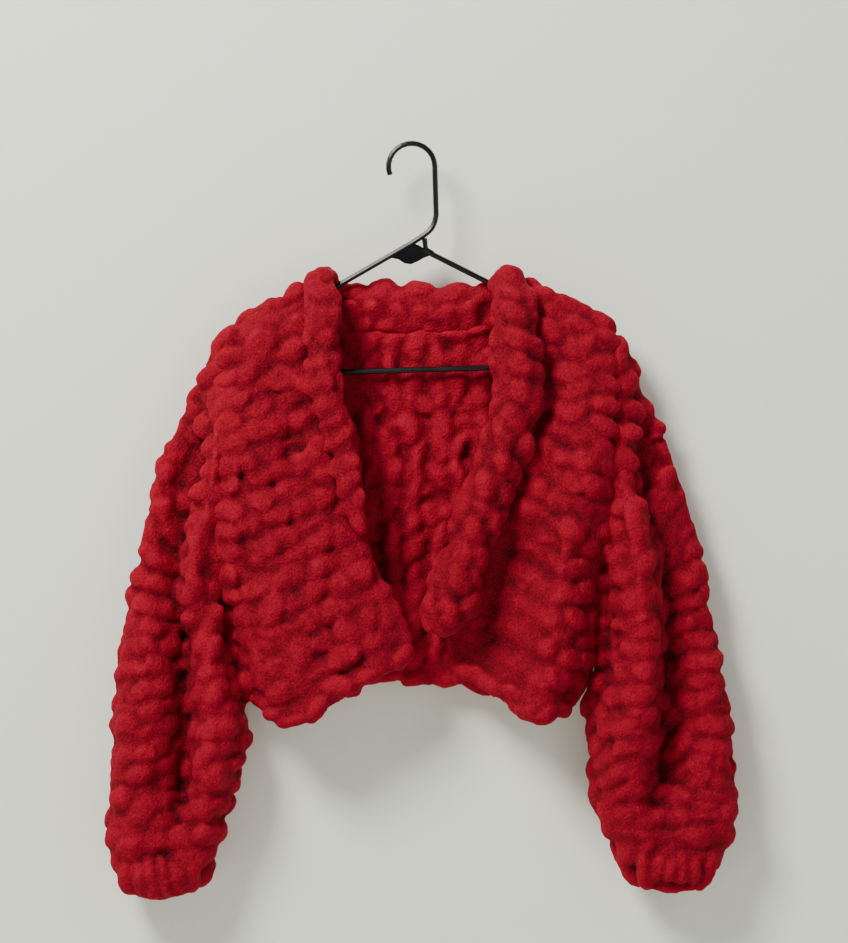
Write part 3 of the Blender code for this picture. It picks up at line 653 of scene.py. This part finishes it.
# Rows as seen from the front: outer x, z, inner x, z
SLEEVE_ROW_LINE = {
    "right": ((-194, -187, -197, -470), (-238, -278, -200, -474), (-273, -385, -199, -482),
              (-297, -496, -192, -500), (-304, -562, -180, -536), (-309, -630, -168, -590),
              (-313, -684, -178, -644), (-314, -728, -193, -702), (-299, -768, -212, -765)),
    "left": ((212, -190, 198, -446), (246, -268, 203, -452), (284, -358, 205, -463),
             (308, -470, 207, -500), (319, -530, 202, -548), (329, -590, 189, -596),
             (335, -650, 184, -640), (335, -706, 192, -692), (312, -760, 226, -760)),
}
SLEEVE_ROWS = 25
SLEEVE_FOLDS = {
    "right": (
        (((-214, -240), (-213, -300), (-220, -352), (-235, -398), (-243, -460), (-238, -505)), (9, 40), 27),
        (((-200, -240), (-199, -300), (-204, -352), (-219, -398), (-226, -460), (-221, -500)), (26, 10), -17),
        (((-232, -470), (-230, -540), (-233, -640), (-237, -710)), (12, 22), 28),
        (((-190, -470), (-206, -520), (-208, -580), (-204, -640), (-208, -700)), (26, 20), -14),
    ),
    "left": (
        (((228, -228), (244, -295), (240, -346), (258, -397), (263, -450), (264, -486)), (58, 13), 30),
        (((268, -440), (268, -520), (262, -610), (250, -700)), (46, 13), 29),
        (((226, -300), (238, -400), (238, -470), (236, -540), (228, -620), (220, -690)), (26, 24), -21),
    ),
}
# The full puffs on the crown of each sleeve's forward fold: x, z
SLEEVE_CROWN = {
    "right": ((-198, -236), (-197, -300), (-200, -352), (-208, -398), (-212, -450), (-206, -505)),
    "left": ((220, -250), (219, -300), (218, -400), (224, -470), (228, -540), (226, -620), (220, -690)),
}
CROWN_LENGTH = {"right": 270, "left": 450}
CROWN_PUFF = {"right": (46, 31, 20), "left": (40, 32, 24)}
# Where the inner side of the sleeve is tucked behind the body under the arm: x, z
SLEEVE_TUCK = {
    "right": ((-190, -482), (-188, -497), (-184, -512), (-180, -524), (-178, -535), (-172, -558)),
    "left": ((197, -450), (195, -467), (193, -482), (192, -495), (192, -507), (193, -530), (194, -555),
             (193, -580)),
}
SLEEVE_BACK_FOLDS = {
    "right": (
        (((-206, -260), (-222, -350), (-218, -460)), (14, 34), 9),
        (((-270, -420), (-250, -520), (-262, -640)), 18, 7),
        (((-200, -560), (-226, -640), (-236, -720)), (22, 14), 6),
    ),
    "left": (
        (((224, -250), (238, -340), (230, -450)), (34, 14), 9),
        (((290, -430), (268, -540), (284, -650)), 18, 7),
        (((214, -570), (240, -650), (256, -730)), (14, 22), 6),
    ),
}


SLEEVE_DRAW = {"right": 53, "left": 59}
SLEEVE_MIDDLE = -6 * MM
CUFF_LOOPS = 13
CUFF_DEPTH = 55 * MM  # how far up from the cuff the rounding reaches
CUFF_GATHER = 0.17  # share of the half width by which each corner draws in
CUFF_DROP = 12 * MM


def round_cuff(sleeve):
    """Rounds off the cuff's two corners and lets its middle hang a little lower."""
    points = points_of(sleeve)
    low = points[:, 2].min()
    share = np.clip((low + CUFF_DEPTH - points[:, 2]) / CUFF_DEPTH, 0, 1) ** 2
    end = points[points[:, 2] < low + 20 * MM, 0]
    middle, half = (end.max() + end.min()) / 2, (end.max() - end.min()) / 2
    aside = (points[:, 0] - middle) / half
    points[:, 0] -= CUFF_GATHER * share * aside * half
    points[:, 2] -= CUFF_DROP * share * (1 - np.clip(aside, -1, 1) ** 2)
    move_points(sleeve, points)


for side in ("right", "left"):
    sleeve = knitted_ground(side + "_sleeve", middle_y=SLEEVE_MIDDLE)
    for line, width, depth in SLEEVE_FOLDS[side]:
        press_fold(sleeve, line, width, depth)
    for line, width, depth in SLEEVE_BACK_FOLDS[side]:
        press_fold(sleeve, line, width, depth, facing=1)
    round_cuff(sleeve)
    loops = Loops(sleeve, SLEEVE_DRAW[side])
    for share in np.arange(0.0, 1.0, 25 / CROWN_LENGTH[side]):
        x, z = share_of(SLEEVE_CROWN[side], share)
        x += loops.draw.uniform(-7, 7)
        for point in seen_line(loops.surface, (x, z), (x, z + 1))[:1]:
            loops.add(point, Vector((1, 0, 0.3)), CROWN_PUFF[side], rise=-8, clear=0.5, wrap=False,
                      outward=Vector((0, -2, 0)))
    for row in range(SLEEVE_ROWS):
        share = (row + 0.5) / SLEEVE_ROWS
        outer_x, outer_z, inner_x, inner_z = share_of(SLEEVE_ROW_LINE[side], share)
        ends = ((inner_x, inner_z), (outer_x, outer_z))
        ring = seen_line(loops.surface, *ends, bow=-5)
        ring += seen_line(loops.surface, *ends[::-1], look=-1, from_y=200.0)
        if row < SLEEVE_ROWS - 1:
            loops.row(ring + ring[:1], (42, 29, 19), 27, lean=14, rise=-3, first=brick(row), clear=0.62)
    for turn in range(CUFF_LOOPS):
        place = [np.interp(turn / CUFF_LOOPS * len(ring), range(len(ring)), [point[axis] for point in ring])
                 for axis in range(3)]
        loops.add(Vector(place), Vector((0, 0, 1)), (44, 22, 25), rise=-1, clear=0.5)
    for x, z in SLEEVE_TUCK[side]:
        loops.add(spot(x, -4, z), Vector((1, 0, 0.2)), (34, 27, 26), rise=7, clear=0, wrap=False)
    finish_knit(sleeve, loops, side + "_sleeve")


# Studio: a matt painted wall close behind and a matt painted floor well below, in soft daylight from the
# upper left. Each is clear from its back, so that the object also shows from behind and from below.
def matt_paint(name, hex_colour):
    """Matt paint rolled on plaster: a faint stipple 7 mm across, and no shine. It is clear from its back."""
    material = bpy.data.materials.new(name)
    material.use_nodes = True
    tree = material.node_tree
    shader = tree.nodes["Principled BSDF"]
    place = add_node(tree, "ShaderNodeTexCoord", {}, {}).outputs["Object"]
    stipple = add_node(tree, "ShaderNodeTexNoise", {"Scale": 1.0 / (7 * MM), "Detail": 3.0},
                       {"Vector": place})
    bump = add_node(tree, "ShaderNodeBump", {"Strength": 0.3, "Distance": 0.8 * MM},
                    {"Height": stipple.outputs["Fac"]})
    shader.inputs["Base Color"].default_value = linear(hex_colour)
    shader.inputs["Roughness"].default_value = 0.9
    shader.inputs["Specular IOR Level"].default_value = 0.2
    tree.links.new(bump.outputs["Normal"], shader.inputs["Normal"])
    side = add_node(tree, "ShaderNodeNewGeometry", {}, {})
    clear = add_node(tree, "ShaderNodeBsdfTransparent", {}, {})
    mix = add_node(tree, "ShaderNodeMixShader", {}, {0: side.outputs["Backfacing"], 1: shader.outputs["BSDF"],
                                                    2: clear.outputs["BSDF"]})
    tree.links.new(mix.outputs[0], tree.nodes["Material Output"].inputs["Surface"])
    return material


WALL_Y = 41 * MM
FLOOR_Z = -1.25
bpy.ops.object.select_all(action="DESELECT")
bpy.ops.mesh.primitive_plane_add(size=5.0, location=(0.0, WALL_Y, 0.2), rotation=(math.pi / 2, 0, 0))
wall = bpy.context.active_object
wall.name = "wall"
wall.visible_shadow = False
wall.data.materials.append(matt_paint("matt_wall_paint", "#EFF2E6"))
bpy.ops.mesh.primitive_plane_add(size=8.0, location=(0.0, 0.0, FLOOR_Z))
floor = bpy.context.active_object
floor.name = "floor"
floor.data.materials.append(matt_paint("pale_floor", "#D3D3CE"))


def soft_light(name, place, aim, size, power, hex_colour):
    """A round soft light at a place, aimed at a point. Its size is in metres and its power in watts."""
    light = bpy.data.lights.new(name, "AREA")
    light.shape = "DISK"
    light.size = size
    light.energy = power
    light.color = linear(hex_colour)[:3]
    lamp = bpy.data.objects.new(name, light)
    lamp.location = place
    lamp.rotation_euler = (Vector(aim) - Vector(place)).to_track_quat("-Z", "Y").to_euler()
    bpy.context.scene.collection.objects.link(lamp)


soft_light("window", (-1.35, -1.9, 1.6), (0.0, 0.0, -0.3), 1.1, 143, "#FFFDF6")
soft_light("fill", (1.9, -2.4, 0.2), (0.0, 0.0, -0.4), 2.2, 16, "#F4F8FF")
soft_light("behind", (0.6, 2.4, 0.9), (0.0, 0.0, -0.4), 1.8, 40, "#FFFFFF")
world = bpy.data.worlds.new("pale_room")
world.use_nodes = True
world.node_tree.nodes["Background"].inputs["Color"].default_value = linear("#E9ECEA")
world.node_tree.nodes["Background"].inputs["Strength"].default_value = 0.31
bpy.context.scene.world = world

PIXEL = 1.03 * MM  # what one pixel of the frame shows at the garment
CAMERA_AWAY = 3.0
CLOTH_FRONT = 20 * MM  # the cloth that the pixel's size is true for lies this far in front of the hook
FRAME_WIDTH, FRAME_HEIGHT = 848, 943
ORIGIN_ACROSS, ORIGIN_DOWN = 411, 144  # where the hook's inside top lies in the frame
camera_data = bpy.data.cameras.new("camera")
camera_data.sensor_width = 36.0
camera_data.lens = 36.0 * CAMERA_AWAY / (FRAME_HEIGHT * PIXEL)
camera = bpy.data.objects.new("camera", camera_data)
camera.location = ((FRAME_WIDTH / 2 - ORIGIN_ACROSS) * PIXEL, -CAMERA_AWAY - CLOTH_FRONT,
                   (ORIGIN_DOWN - FRAME_HEIGHT / 2) * PIXEL)
camera.rotation_euler = (math.pi / 2, 0, 0)
bpy.context.scene.collection.objects.link(camera)
bpy.context.scene.camera = camera
